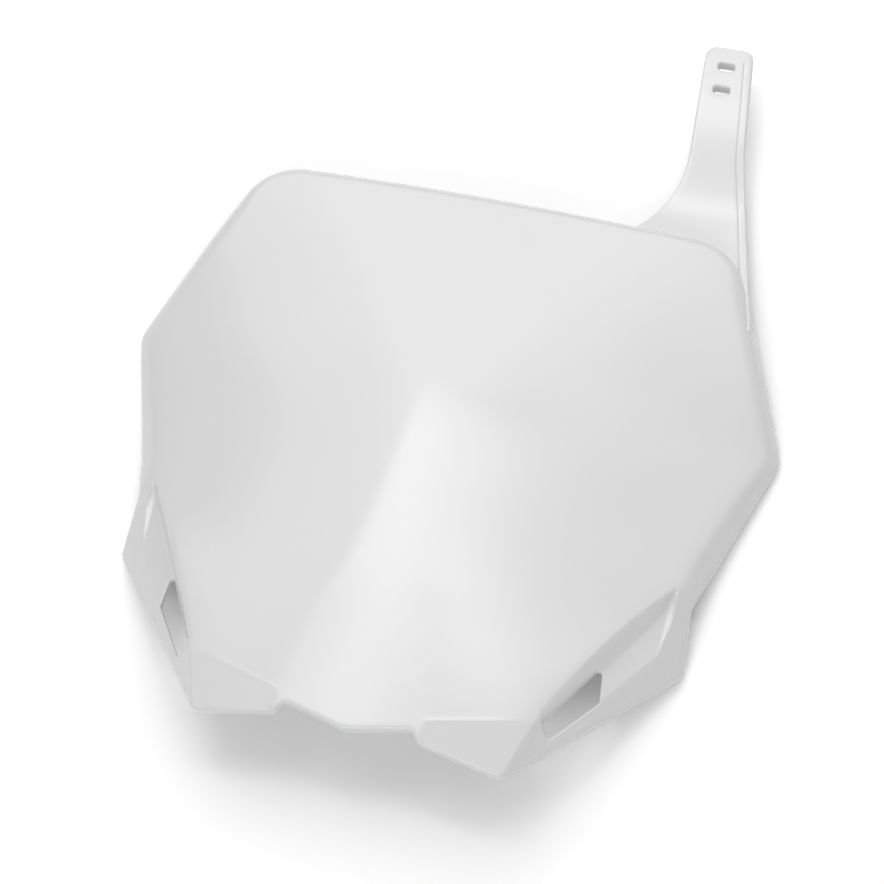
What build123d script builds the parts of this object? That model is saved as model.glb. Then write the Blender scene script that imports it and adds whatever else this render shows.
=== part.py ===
# Front number plate of an off-road motorcycle: one moulded shell with a strap at its top right corner.
# It lies face up on its two widest corners and its two ears. +Y points up the face and +X to its right.
# While it is drawn, y is 0 at the top edge and heights are measured from the floor.
import os
from math import sqrt

from build123d import *

# Silhouette of the right half: half widths, and drops below the top edge
top_half = 88.0
widest_half = 120.0
widest_drop = 75.0
waist_half = 101.0
waist_drop = 135.0
ear_half = 103.0
ear_drop = 158.0
lobe_half = 53.5
lobe_drop = 211.5
lobe_inner_half = 25.0
lobe_inner_drop = 207.0
tongue_half = 22.0
tongue_drop = 203.0
tongue_point_drop = 208.0
top_corner_radius = 22.0
widest_corner_radius = 10.0
waist_corner_radius = 12.0
ear_corner_radius = 4.0
lobe_corner_radius = 3.0
notch_radius = 1.5

# Moulding
wall = 2.4
rim_depth = 6.0

# Crown of the face: its ridge follows two slopes that blend at the brow, and its sides curve away from it
top_ridge = 17.5
top_slope = 0.285
foot_ridge = 44.2
foot_slope = 0.034
brow_blend = 2.0
top_radius = 760.0
side_radius = 275.0
foot_radius = 400.0
lean_start_drop = 30.0
side_lean = 18.0
crown_margin = 12.0
crown_sections = 25

# Nose: a facet, flat across, that starts at a point on the ridge and widens as it sinks towards the tongue
nose_tip_drop = 82.0
nose_sink = 1.6
nose_points = 9

# Lobes: the lower corners of the face, bent back along a crease
crease_inner_drop = 199.0
crease_outer_half = 62.5
crease_outer_drop = 189.0
lobe_bend = 7.0

# Ears: ledges outside the shoulder of the face. Each has a pocket whose floor is hinged at its outer edge and
# sinks towards the shoulder, with a sloping side at its top and a vent at its foot.
ear_top_height = 12.3
ear_height = 6.0
pocket_top_half = 96.0
pocket_top_drop = 131.5
pocket_outer_half = 95.5
pocket_outer_drop = 152.0
pocket_depth = 2.4
pocket_side_drop = 138.0
vent_top_drop = 164.0
vent_outer_half = 78.5
vent_outer_drop = 176.5
vent_end_half = 65.0
vent_end_drop = 194.5

# Strap: it leaves the rim below the face, dips, rises in a step and ends in a flat tip with two slots
strap_reach = 74.5
strap_tip_middle = 70.8
strap_tip_width = 17.5
strap_waist_reach = 34.0
strap_waist_middle = 74.3
strap_waist_width = 20.2
strap_root_half = 48.0
strap_root_drop = 32.0
strap_tip_radius = 4.0
strap_thickness = 3.0
strap_root_height = 8.5
strap_root_slope = 0.15
strap_dip_reach = 10.0
strap_step_reach = 44.0
strap_tip_height = 15.7
strap_tip_slope = 0.105
strap_bend_radius = 55.0
strap_lap = 6.0
strap_tab_thickness = 5.6
strap_tab_width = 13.0
strap_tab_reach = 53.0
strap_tab_end = 72.0
strap_tab_radius = 2.0
bead_width = 3.4
bead_height = 1.3
slot_length = 6.0
slot_width = 2.6
slot_radius = 1.0
slot_reach = 67.0
slot_pitch = 9.0

# Strap hook behind the face, sized to the slots
hook_drop = 22.0
hook_clearance = 0.4
hook_stand = 6.0
hook_toe = 2.6

# Bolt lug behind the nose, with a gusset at each side
lug_drop = 178.0
lug_width = 22.0
lug_thickness = 5.0
lug_bore = 6.5
lug_bore_height = 20.0
gusset_thickness = 2.4
gusset_run = 26.0

far_half = widest_half + crown_margin
far_drop = max(lobe_drop, tongue_point_drop) + crown_margin
block_foot = -20.0
block_top = 80.0


def spread(start, end, count):
    return [start + (end - start) * index / (count - 1) for index in range(count)]


def on_face(half, drop, height):
    return Vector(half, -drop, height)


def plane_through(first, second, third):
    normal = (second - first).cross(third - first)
    upward = normal if normal.Z > 0 else -normal
    return Plane(origin=first, x_dir=second - first, z_dir=upward)


def ease(value, start, end):
    share = min(max((value - start) / (end - start), 0), 1)
    return share**3 * (10 - 15 * share + 6 * share**2)


def ridge_height(drop):
    upper = top_ridge + top_slope * drop
    lower = foot_ridge + foot_slope * (drop - lobe_drop)
    return (upper + lower) / 2 - sqrt(((upper - lower) / 2) ** 2 + brow_blend**2)


def nose_height(drop):
    return ridge_height(drop) - nose_sink * (drop - nose_tip_drop) / (tongue_point_drop - nose_tip_drop)


def crown_radius(drop):
    top, side, foot = 1 / top_radius, 1 / side_radius, 1 / foot_radius
    bend = top + (side - top) * ease(drop, -crown_margin, widest_drop)
    bend += (foot - side) * ease(drop, waist_drop - crown_margin, vent_top_drop + crown_margin)
    return 1 / bend


def crown_lean(drop):
    return side_lean * ease(drop, lean_start_drop, waist_drop)


def crown_height(half, drop, inset):
    radius = crown_radius(drop)
    lean = crown_lean(drop)
    centre_height = ridge_height(drop) - sqrt(radius**2 - lean**2)
    return centre_height + sqrt((radius - inset) ** 2 - (half + lean) ** 2)


def on_crown(half, drop):
    return on_face(half, drop, crown_height(half, drop, 0))


def side_half(drop):
    """Half width of the silhouette between its top corner and its widest corner."""
    return top_half + (widest_half - top_half) * drop / widest_drop


def shoulder_half(drop):
    """Half width of the line where the shoulder of the face meets the ear."""
    slope = (pocket_top_half - crease_outer_half) / (crease_outer_drop - pocket_top_drop)
    return pocket_top_half - slope * (drop - pocket_top_drop)


lobe_step_half = (lobe_inner_half + tongue_half) / 2
crease_start = on_crown(lobe_step_half, crease_inner_drop)
crease = Axis(crease_start, on_crown(crease_outer_half, crease_outer_drop) - crease_start)
ear_plane = plane_through(
    on_face(waist_half, waist_drop, ear_top_height),
    crease_start + (on_crown(lobe_half, lobe_drop) - crease_start).rotate(crease, lobe_bend),
    on_face(ear_half, ear_drop, ear_height),
)


def on_plane(plane, half, drop):
    normal = plane.z_dir
    fall = normal.X * (half - plane.origin.X) - normal.Y * (drop + plane.origin.Y)
    return on_face(half, drop, plane.origin.Z - fall / normal.Z)


pocket_top = on_plane(ear_plane, pocket_top_half, pocket_top_drop)
pocket_outer = on_plane(ear_plane, pocket_outer_half, pocket_outer_drop)
pocket_floor = plane_through(
    pocket_outer,
    on_plane(ear_plane, vent_outer_half, vent_outer_drop),
    pocket_top - Vector(0, 0, pocket_depth),
)
pocket_side = plane_through(
    pocket_top,
    pocket_outer,
    on_plane(pocket_floor, shoulder_half(pocket_side_drop), pocket_side_drop),
)


def crown_section(drop, inset):
    """Half section of the crown, from the ridge out past the widest point."""
    heights = [crown_height(half, drop, inset) for half in (0, far_half / 2, far_half)]
    with BuildSketch(Plane.XZ.offset(drop)) as section:
        with BuildLine():
            ThreePointArc((0, heights[0]), (far_half / 2, heights[1]), (far_half, heights[2]))
            Polyline((far_half, heights[2]), (far_half, block_foot), (0, block_foot), (0, heights[0]))
        make_face()
    return section.sketch


def crown(inset):
    """Right half of the domed face, with its nose facet and its bent lobe, as a block."""
    with BuildPart() as dome:
        loft([crown_section(drop, inset) for drop in spread(-crown_margin, far_drop, crown_sections)])

    with BuildPart() as lobe_cut:
        with BuildSketch():
            with Locations((lobe_step_half - inset, -far_drop)):
                Rectangle(far_half, far_drop - vent_top_drop, align=(Align.MIN, Align.MIN))
        extrude(amount=block_top)
        add(dome.part.rotate(crease, lobe_bend), mode=Mode.SUBTRACT)

    nose_start = nose_tip_drop - crown_margin
    nose_drops = spread(nose_start, far_drop, nose_points)
    with BuildPart() as nose_cut:
        with BuildSketch(Plane.YZ):
            with BuildLine():
                facet = Spline(*[(-drop, nose_height(drop) - inset) for drop in nose_drops])
                Polyline(facet @ 1, (-far_drop, block_top), (-nose_start, block_top), facet @ 0)
            make_face()
        extrude(amount=far_half)

    with BuildPart() as block:
        add(dome.part)
        add(nose_cut.part, mode=Mode.SUBTRACT)
        add(lobe_cut.part, mode=Mode.SUBTRACT)
    return block.part


def prism(sketch):
    """A sketch of the plan, pulled up through the whole height of the plate."""
    with BuildPart() as block:
        with BuildSketch(Plane.XY.offset(block_foot)):
            add(sketch)
        extrude(amount=block_top - block_foot)
    return block.part


def plan(*points, grown=0):
    with BuildSketch() as outline:
        with BuildLine():
            Polyline(*[(half, -drop) for half, drop in points], close=True)
        make_face()
        if grown:
            offset(amount=grown, kind=Kind.INTERSECTION)
    return outline.sketch


def ear_zone(inset):
    """Everything outside the shoulder, from the top of the pocket down."""
    return prism(
        plan(
            (pocket_top_half, pocket_top_drop),
            (far_half, pocket_top_drop),
            (far_half, far_drop),
            (lobe_half, far_drop),
            (lobe_half, lobe_drop),
            (crease_outer_half, crease_outer_drop),
            grown=inset,
        )
    )


def pocket(inset):
    """The space sunk into the ear, between the shoulder and the strip along the ear's edge."""
    outline = plan(
        (pocket_top_half, pocket_top_drop),
        (pocket_outer_half, pocket_outer_drop),
        (vent_outer_half, vent_outer_drop),
        (vent_end_half, vent_end_drop),
        (crease_outer_half, crease_outer_drop),
        grown=inset,
    )
    with BuildPart() as space:
        add(prism(outline))
        split(bisect_by=pocket_floor.offset(-inset), keep=Keep.TOP)
        split(bisect_by=pocket_side.offset(-inset), keep=Keep.TOP)
    return space.part


def form(inset):
    """Right half of the face and its ear as one block, with its outer surface moved in by the inset."""
    with BuildPart() as ear:
        add(ear_zone(inset))
        split(bisect_by=ear_plane.offset(-inset), keep=Keep.BOTTOM)
        add(pocket(inset), mode=Mode.SUBTRACT)
    with BuildPart() as face:
        add(crown(inset))
        add(ear_zone(inset), mode=Mode.SUBTRACT)
        add(ear.part)
    return face.part


silhouette_points = (
    (top_half, 0),
    (widest_half, -widest_drop),
    (waist_half, -waist_drop),
    (ear_half, -ear_drop),
    (lobe_half, -lobe_drop),
    (lobe_inner_half, -lobe_inner_drop),
    (tongue_half, -tongue_drop),
)
silhouette_radii = (
    top_corner_radius,
    widest_corner_radius,
    waist_corner_radius,
    ear_corner_radius,
    lobe_corner_radius,
    notch_radius,
    notch_radius,
)
with BuildSketch() as silhouette:
    with BuildLine():
        FilletPolyline(
            *silhouette_points,
            (0, -tongue_point_drop),
            *[(-half, along) for half, along in reversed(silhouette_points)],
            radius=[*silhouette_radii, 0, *reversed(silhouette_radii)],
            close=True,
        )
    make_face()

with BuildSketch() as inner_silhouette:
    add(silhouette.sketch)
    offset(amount=-wall, kind=Kind.INTERSECTION)

with BuildSketch() as lap_silhouette:
    add(silhouette.sketch)
    offset(amount=-strap_lap, kind=Kind.INTERSECTION)

outer_form = form(0)

# The turned-back rim: the outer surface down to a copy of it one rim depth lower, along the silhouette
with BuildPart() as rim:
    add(outer_form)
    add(outer_form.moved(Location((0, 0, -rim_depth))), mode=Mode.SUBTRACT)
    add(prism(silhouette.sketch), mode=Mode.INTERSECT)
    add(prism(inner_silhouette.sketch), mode=Mode.SUBTRACT)

# The face and the right ear as a skin of one wall, with the vent cut through, then both halves
vent = plan(
    (shoulder_half(vent_top_drop), vent_top_drop),
    (vent_outer_half, vent_outer_drop),
    (vent_end_half, vent_end_drop),
    (crease_outer_half, crease_outer_drop),
)
with BuildPart() as shell:
    add(outer_form)
    add(form(wall), mode=Mode.SUBTRACT)
    add(prism(silhouette.sketch), mode=Mode.INTERSECT)
    add(rim.part)
    add(prism(vent), mode=Mode.SUBTRACT)
    mirror(about=Plane.YZ)

# The strap: its side view and its plan give a bent plate, and a bead stands along its right edge
waist_right = (strap_waist_middle + strap_waist_width / 2, strap_waist_reach)
waist_left = (strap_waist_middle - strap_waist_width / 2, strap_waist_reach)
with BuildSketch() as strap_plan:
    with BuildLine():
        outer_edge = Polyline(
            (side_half(strap_root_drop) - wall / 2, -strap_root_drop),
            waist_right,
            (strap_tip_middle + strap_tip_width / 2, strap_reach),
            (strap_tip_middle - strap_tip_width / 2, strap_reach),
        )
        inner_edge = Line(outer_edge @ 1, waist_left)
        flare = TangentArc(waist_left, (strap_root_half, 0), tangent=inner_edge % 1)
        Polyline(flare @ 1, (strap_root_half, -strap_root_drop), outer_edge @ 0)
    make_face()
    fillet(strap_plan.vertices().group_by(Axis.Y)[-1], strap_tip_radius)

strap_start = -strap_root_drop - crown_margin
strap_end = strap_reach + crown_margin
with BuildPart() as strap_block:
    with BuildSketch(Plane.YZ):
        with BuildLine():
            strap_top = FilletPolyline(
                (strap_start, strap_root_height - strap_root_slope * strap_start),
                (strap_dip_reach, strap_root_height - strap_root_slope * strap_dip_reach),
                (strap_step_reach, strap_tip_height),
                (strap_end, strap_tip_height + strap_tip_slope * (strap_end - strap_step_reach)),
                radius=strap_bend_radius,
            )
            Polyline(strap_top @ 1, (strap_end, block_foot), (strap_start, block_foot), strap_top @ 0)
        make_face()
    extrude(amount=far_half)

with BuildPart() as bead:
    add(strap_block.part.moved(Location((0, 0, bead_height))))
    add(strap_block.part, mode=Mode.SUBTRACT)
    add(prism(strap_plan.sketch), mode=Mode.INTERSECT)
    add(prism(strap_plan.sketch).moved(Location((-bead_width, 0, 0))), mode=Mode.SUBTRACT)
    add(prism(silhouette.sketch), mode=Mode.SUBTRACT)

# The strap is thicker round its slots
with BuildSketch() as tab_plan:
    with Locations((strap_tip_middle, (strap_tab_reach + strap_tab_end) / 2)):
        RectangleRounded(strap_tab_width, strap_tab_end - strap_tab_reach, strap_tab_radius)
with BuildPart() as strap_tab:
    add(strap_block.part)
    add(strap_block.part.moved(Location((0, 0, -strap_tab_thickness))), mode=Mode.SUBTRACT)
    add(prism(tab_plan.sketch), mode=Mode.INTERSECT)

with BuildPart() as strap:
    add(strap_block.part)
    add(strap_block.part.moved(Location((0, 0, -strap_thickness))), mode=Mode.SUBTRACT)
    add(prism(strap_plan.sketch), mode=Mode.INTERSECT)
    add(strap_tab.part)
    add(bead.part)
    add(prism(lap_silhouette.sketch), mode=Mode.SUBTRACT)
    with BuildSketch(Plane.XY.offset(block_foot)):
        with Locations(*[(strap_tip_middle, slot_reach - index * slot_pitch) for index in range(2)]):
            RectangleRounded(slot_length, slot_width, slot_radius)
    extrude(amount=block_top - block_foot, mode=Mode.SUBTRACT)

# The hook that a slot of the strap goes over
hook_width = slot_length - 2 * hook_clearance
hook_thickness = slot_width - 2 * hook_clearance
hook_foot = crown_height(strap_tip_middle, hook_drop, wall) - hook_stand
hook_top = crown_height(strap_tip_middle, hook_drop, wall / 2)
with BuildPart() as hook:
    with BuildSketch(Plane.XY.offset(hook_foot)):
        with Locations((strap_tip_middle, -hook_drop)):
            Rectangle(hook_width, hook_thickness)
    extrude(amount=hook_top - hook_foot)
    with BuildSketch(Plane.XY.offset(hook_foot)):
        with Locations((strap_tip_middle, -hook_drop + hook_thickness / 2)):
            Rectangle(hook_width, hook_thickness + hook_toe, align=(Align.CENTER, Align.MAX))
    extrude(amount=-hook_thickness)

# The bolt lug
lug_top = nose_height(lug_drop) - wall / 2
with BuildPart() as lug:
    with BuildSketch(Plane.XZ.offset(lug_drop)):
        with Locations((0, lug_bore_height)):
            Circle(lug_width / 2)
            Rectangle(lug_width, lug_top - lug_bore_height, align=(Align.CENTER, Align.MIN))
            Circle(lug_bore / 2, mode=Mode.SUBTRACT)
    extrude(amount=lug_thickness / 2, both=True)
    with BuildSketch(Plane.YZ.offset(lug_width / 2)):
        with BuildLine():
            Polyline(
                (-lug_drop, lug_bore_height),
                (-lug_drop, lug_top),
                (-lug_drop + gusset_run, lug_top),
                close=True,
            )
        make_face()
    extrude(amount=-gusset_thickness)
    mirror(about=Plane.YZ)

with BuildPart() as number_plate:
    add(shell.part)
    add(strap.part)
    add(hook.part)
    add(lug.part)

box = number_plate.part.bounding_box()
plate = number_plate.part.moved(Location((-box.center().X, -box.center().Y, -box.min.Z)))

os.makedirs("parts", exist_ok=True)
plate.label = "number_plate"
export_step(plate, "parts/number_plate.step")
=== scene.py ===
import math
import bmesh
import bpy
import numpy as np
from mathutils import Matrix, Quaternion, Vector
from mathutils.geometry import delaunay_2d_cdt


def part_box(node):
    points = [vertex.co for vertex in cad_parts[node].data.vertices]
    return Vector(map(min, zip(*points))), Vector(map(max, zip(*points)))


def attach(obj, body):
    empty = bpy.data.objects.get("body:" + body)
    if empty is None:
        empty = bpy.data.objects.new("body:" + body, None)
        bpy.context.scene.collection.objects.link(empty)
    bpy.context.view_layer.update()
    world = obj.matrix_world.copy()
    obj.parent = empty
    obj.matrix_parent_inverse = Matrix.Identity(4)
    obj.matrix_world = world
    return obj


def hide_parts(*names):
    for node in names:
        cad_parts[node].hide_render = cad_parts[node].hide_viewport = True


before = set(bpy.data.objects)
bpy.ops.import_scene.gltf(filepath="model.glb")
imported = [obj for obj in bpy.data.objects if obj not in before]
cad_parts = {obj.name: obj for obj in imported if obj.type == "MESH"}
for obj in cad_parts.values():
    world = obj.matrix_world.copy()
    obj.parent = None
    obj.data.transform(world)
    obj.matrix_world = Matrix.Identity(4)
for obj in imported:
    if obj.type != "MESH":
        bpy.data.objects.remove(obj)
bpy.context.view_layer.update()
plateLow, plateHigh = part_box("number_plate")
print("frame loaded, plate from", plateLow, "to", plateHigh)

# Sizes are in millimetres: x from the middle line, y up the face from its top edge, z out of the face.
# A drop is a distance down the face from the top edge, and a half is a distance from the middle line.
mmPerMetre = 1000.0
plate = {
    "topHalf": 88.0,
    "widestHalf": 120.0,
    "widestDrop": 75.0,
    "waistHalf": 101.0,
    "waistDrop": 135.0,
    "earHalf": 103.0,
    "earDrop": 158.0,
    "lobeHalf": 53.5,
    "lobeDrop": 211.5,
    "lobeInnerHalf": 25.0,
    "lobeInnerDrop": 207.0,
    "tongueHalf": 22.0,
    "tongueDrop": 203.0,
    "tonguePointDrop": 208.0,
    "topCornerRadius": 22.0,
    "widestRadius": 10.0,
    "waistRadius": 12.0,
    "earRadius": 4.0,
    "lobeRadius": 3.2,
    "lobeInnerRadius": 2.8,
    "notchRadius": 1.5,
    "wall": 2.4,
    "rimDepth": 6.0,
    "footRadius": 0.6,  # rounding of the rim's lower edge
}
sideSlope = (plate["widestHalf"] - plate["topHalf"]) / plate["widestDrop"]


def sideHalf(drop):
    return plate["topHalf"] + sideSlope * drop


# Smooth joins of heights
def ease(value, start, end):
    share = np.clip((value - start) / (end - start), 0.0, 1.0)
    return share**3 * (10 - 15 * share + 6 * share**2)


def softMin(first, second, soft):
    return (first + second) / 2 - np.sqrt(((first - second) / 2) ** 2 + soft**2)


def softRamp(value, soft):
    return (value + np.sqrt(value**2 + soft**2)) / 2


def roundOff(distance, run, fall):
    inward = np.clip(1 - distance / run, 0.0, 1.0)
    return fall * (1 - np.sqrt(1 - inward**2))


# Crown: the ridge follows two slopes that meet at the brow, and the face curves away from it to both sides
crownShape = {
    "topRidge": 17.5,
    "topSlope": 0.285,
    "footRidge": 44.2,
    "footSlope": 0.034,
    "browBlend": 0.6,
    "browSpread": 1.6,  # how much softer the brow is beside the ridge
    "browSpreadHalf": 48.0,
    "topRadius": 760.0,
    "sideRadius": 275.0,
    "footRadius": 400.0,
    "leanStart": 30.0,
    "sideLean": 18.0,
    "margin": 12.0,
    "gentleStart": 95.0,
    "gentleEnd": 205.0,
    "gentleHalf": 45.0,
    "firmHalf": 85.0,
    "ridgeSoft": 2.5,
}


def ridgeHeight(drop, spread=0.0):
    upper = crownShape["topRidge"] + crownShape["topSlope"] * drop
    lower = crownShape["footRidge"] + crownShape["footSlope"] * (drop - plate["lobeDrop"])
    return softMin(upper, lower, crownShape["browBlend"] + spread)


def crownHeight(half, drop, inset):
    # An inset sinks the face by that much, for the inner side of the wall
    margin = crownShape["margin"]
    topBend = 1 / crownShape["topRadius"]
    sideBend = 1 / crownShape["sideRadius"]
    footBend = 1 / crownShape["footRadius"]
    bend = topBend + (sideBend - topBend) * ease(drop, -margin, plate["widestDrop"])
    # Towards the foot the face flattens, slowly beside the nose and faster beside the ears
    gentle = ease(drop, crownShape["gentleStart"], crownShape["gentleEnd"])
    firm = ease(drop, plate["waistDrop"] - margin, ear["ventTopDrop"] + margin)
    flatter = gentle + (firm - gentle) * ease(half, crownShape["gentleHalf"], crownShape["firmHalf"])
    bend = bend + (footBend - sideBend) * flatter
    radius = 1 / bend
    lean = crownShape["sideLean"] * ease(drop, crownShape["leanStart"], plate["waistDrop"])
    # The brow is crisp at the ridge and softer beside it
    spread = crownShape["browSpread"] * ease(half, 0.0, crownShape["browSpreadHalf"])
    centre = ridgeHeight(drop, spread) - np.sqrt(radius**2 - lean**2)
    return centre + np.sqrt((radius - inset) ** 2 - (half + lean) ** 2)


# Nose: a facet, flat across, that starts at a point on the brow
nose = {
    "tipDrop": 82.0,
    "sink": 1.6,  # below the ridge at the tongue
    "softTip": 0.02,
    "softFoot": 0.2,
    "softDrop": 150.0,
    "foldDrop": 146.0,
    "foldFull": 168.0,
    "foldFootHalf": 9.5,
    "foldSlope": 0.03,
    "foldSoft": 0.5,
}


def noseHeight(drop):
    share = (drop - nose["tipDrop"]) / (plate["tonguePointDrop"] - nose["tipDrop"])
    return ridgeHeight(drop) - nose["sink"] * share


def noseFold(half, drop):
    # Towards the tongue the sides of the nose turn back from a narrow middle
    share = (drop - nose["foldDrop"]) / (plate["tonguePointDrop"] - nose["foldDrop"])
    beyond = softRamp(half - nose["foldFootHalf"] * share, nose["foldSoft"])
    return nose["foldSlope"] * beyond * ease(drop, nose["foldDrop"], nose["foldFull"])


# Lobes: the lower corners of the face, bent back along a crease that has a faint lip
lobe = {
    "creaseInnerDrop": 199.0,
    "creaseOuterHalf": 62.5,
    "creaseOuterDrop": 189.0,
    "bend": 7.0,  # degrees
    "creaseSoft": 1.0,
    "stepSoft": 1.4,
    "lipHeight": 0.12,
    "lipWidth": 0.9,
    "lipFade": 40.0,
    "lipEnd": 58.0,
}
lobeStepHalf = (plate["lobeInnerHalf"] + plate["tongueHalf"]) / 2
creaseFall = (lobe["creaseInnerDrop"] - lobe["creaseOuterDrop"]) / (lobe["creaseOuterHalf"] - lobeStepHalf)


def lobeFall(half, drop):
    beyond = drop - lobe["creaseInnerDrop"] + creaseFall * (half - lobeStepHalf)
    beyond = beyond / math.hypot(1, creaseFall)
    lip = lobe["lipHeight"] * np.exp(-((beyond / lobe["lipWidth"]) ** 2))
    lip = lip * (1 - ease(half, lobe["lipFade"], lobe["lipEnd"]))
    return math.tan(math.radians(lobe["bend"])) * softRamp(beyond, lobe["creaseSoft"]) - lip


# Ears: flat ledges outside a shoulder, each with a pocket and a vent
ear = {
    "topHeight": 12.3,
    "height": 6.0,
    "pocketTopHalf": 96.0,
    "pocketTopDrop": 131.5,
    "pocketOuterHalf": 95.5,
    "pocketOuterDrop": 152.0,
    "pocketDepth": 3.3,
    "pocketWall": 2.4,  # slope of the wall beside the blade
    "bladeWidth": 2.2,
    "bladeRise": 0.68,
    "pocketSoft": 0.08,
    "pocketEnd": 0.8,
    "ventTopDrop": 164.0,
    "ventOuterHalf": 78.5,
    "ventOuterDrop": 176.5,
    "ventEndHalf": 65.0,
    "ventEndDrop": 194.5,
    "ventEdge": 0.5,
    "ventRadius": 1.2,
    "ventStep": 0.7,
    "shoulderSlope": 2.4,
    "shoulderSoft": 1.1,
    "shoulderFoot": 0.8,
    "shoulderBendSoft": 0.3,
    "topSoftShare": 0.2,  # shares of the shoulder's softness
    "footCrispShare": 0.85,
    "footCrispRun": 10.0,
    "bevelTopHalf": 113.5,
    "bevelTopDrop": 78.0,
    "bevelSlope": 0.5,
    "bevelSoft": 3.0,
    "bevelStart": 60.0,
    "bevelFull": 126.0,
}
lobeCorner = (plate["lobeHalf"], plate["lobeDrop"])
lobeCornerHeight = float(crownHeight(*lobeCorner, 0) - lobeFall(*lobeCorner))
earCorners = np.array([
    (plate["waistHalf"], plate["waistDrop"], ear["topHeight"]),
    (plate["earHalf"], plate["earDrop"], ear["height"]),
    (*lobeCorner, lobeCornerHeight),
])
earTilt = np.linalg.solve(np.column_stack([earCorners[:, :2], np.ones(3)]), earCorners[:, 2])

# Corners as half and drop
shoulderTop = (ear["pocketTopHalf"], ear["pocketTopDrop"])
shoulderBend = (lobe["creaseOuterHalf"], lobe["creaseOuterDrop"])
pocketOuter = (ear["pocketOuterHalf"], ear["pocketOuterDrop"])
ventOuter = (ear["ventOuterHalf"], ear["ventOuterDrop"])
ventEnd = (ear["ventEndHalf"], ear["ventEndDrop"])


def besideLine(half, drop, start, end):
    alongHalf, alongDrop = end[0] - start[0], end[1] - start[1]
    across = (half - start[0]) * alongDrop - (drop - start[1]) * alongHalf
    return across / math.hypot(alongHalf, alongDrop)


def outsideShoulder(half, drop):
    upper = besideLine(half, drop, shoulderTop, shoulderBend)
    lower = besideLine(half, drop, shoulderBend, lobeCorner)
    return np.minimum(softMin(upper, lower, ear["shoulderBendSoft"]), drop - shoulderTop[1])


def shoulderHalf(drop):
    share = (drop - shoulderTop[1]) / (shoulderBend[1] - shoulderTop[1])
    return shoulderTop[0] + (shoulderBend[0] - shoulderTop[0]) * share


def floorSink(half, drop):
    hinge = besideLine(half, drop, pocketOuter, ventOuter)
    return ear["pocketDepth"] * hinge / besideLine(*shoulderTop, pocketOuter, ventOuter)


def pocketSink(half, drop):
    # The floor is hinged at its outer edge; at the top a level blade and a steep wall rise to the strip
    inside = -besideLine(half, drop, shoulderTop, pocketOuter)
    soft = ear["pocketSoft"]
    blade = floorSink(half, drop) - ear["bladeRise"] * softRamp(ear["bladeWidth"] - inside, soft)
    sink = softRamp(softMin(blade, ear["pocketWall"] * inside, soft), soft)
    end = -besideLine(half, drop, ventEnd, shoulderBend)
    return sink * ease(end, -ear["pocketEnd"], ear["pocketEnd"])


def sideBevel(half, drop):
    # The strip of the ear runs on up the side edge and fades out towards the widest corner
    top = (ear["bevelTopHalf"], ear["bevelTopDrop"])
    beyond = softRamp(besideLine(half, drop, top, shoulderTop), ear["bevelSoft"])
    fading = ease(drop, ear["bevelStart"], ear["bevelFull"])
    return ear["bevelSlope"] * beyond * fading


def shoulderSoftness(drop):
    # The shoulder is softest at its middle
    crispFrom = lobe["creaseOuterDrop"] - ear["footCrispRun"]
    fading = 1 - ear["footCrispShare"] * ease(drop, crispFrom, plate["lobeDrop"])
    share = ear["topSoftShare"]
    fading = fading * (share + (1 - share) * ease(drop, shoulderTop[1], pocketOuter[1]))
    return ear["shoulderSoft"] * fading


def faceHeight(x, y, inset):
    # The outer side over the plan, or its inner side where the inset is the wall
    half = np.sqrt(x**2 + crownShape["ridgeSoft"] ** 2) - crownShape["ridgeSoft"]  # soft at the ridge
    drop = -y
    face = crownHeight(half, drop, inset)
    softer = ease(drop, nose["tipDrop"], nose["softDrop"])
    soft = nose["softTip"] + (nose["softFoot"] - nose["softTip"]) * softer
    face = softMin(face, noseHeight(drop) - noseFold(half, drop) - inset, soft)
    stepHalf = lobeStepHalf - inset
    onLobe = ease(half, stepHalf - lobe["stepSoft"], stepHalf + lobe["stepSoft"])
    face = face - lobeFall(half, drop) * onLobe
    # The ears lie outside the shoulder, below the face
    half = np.abs(x)
    face = face - sideBevel(half, drop)
    earHeight = earTilt[0] * half + earTilt[1] * drop + earTilt[2] - inset
    earHeight = earHeight - pocketSink(half, drop)
    outside = outsideShoulder(half, drop) + inset
    shoulder = earHeight + ear["shoulderSlope"] * softRamp(-outside, ear["shoulderFoot"])
    return softMin(face, shoulder, shoulderSoftness(drop))


# Plans: paths with rounded corners, loops set in from them, and points spread over them
planning = {
    "arcShare": 0.3,  # longest step round a corner, as a share of its radius
    "fewestArcSteps": 3,
    "batch": 2000,
    "cell": 2.0,
    "tolerance": 1e-6,
    "tiny": 1e-12,
}


def roundedPath(corners, step):
    path = [Vector(corners[0][:2])]

    def lineTo(target):
        start = path[-1].copy()
        count = max(1, round((target - start).length / step))
        path.extend(start.lerp(target, (index + 1) / count) for index in range(count))

    for before, here, after in zip(corners, corners[1:], corners[2:]):
        corner = Vector(here[:2])
        back = (Vector(before[:2]) - corner).normalized()
        ahead = (Vector(after[:2]) - corner).normalized()
        halfAngle = back.angle(ahead) / 2
        radius = here[2]
        lineTo(corner + back * radius / math.tan(halfAngle))
        centre = corner + (back + ahead).normalized() * radius / math.sin(halfAngle)
        spoke = path[-1] - centre
        turn = math.pi - 2 * halfAngle
        if back.cross(ahead) > 0:
            turn = -turn
        arcStep = min(step, planning["arcShare"] * radius)
        count = max(planning["fewestArcSteps"], math.ceil(abs(turn) * radius / arcStep))
        for index in range(count):
            path.append(centre + Matrix.Rotation(turn * (index + 1) / count, 2) @ spoke)
    lineTo(Vector(corners[-1][:2]))
    return np.array([tuple(point) for point in path])


def roundedLoop(corners, radius, step):
    start = tuple((np.array(corners[-1]) + np.array(corners[0])) / 2)
    path = roundedPath([(*start, 0)] + [(*corner, radius) for corner in corners] + [(*start, 0)], step)
    return path[:-1]


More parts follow.
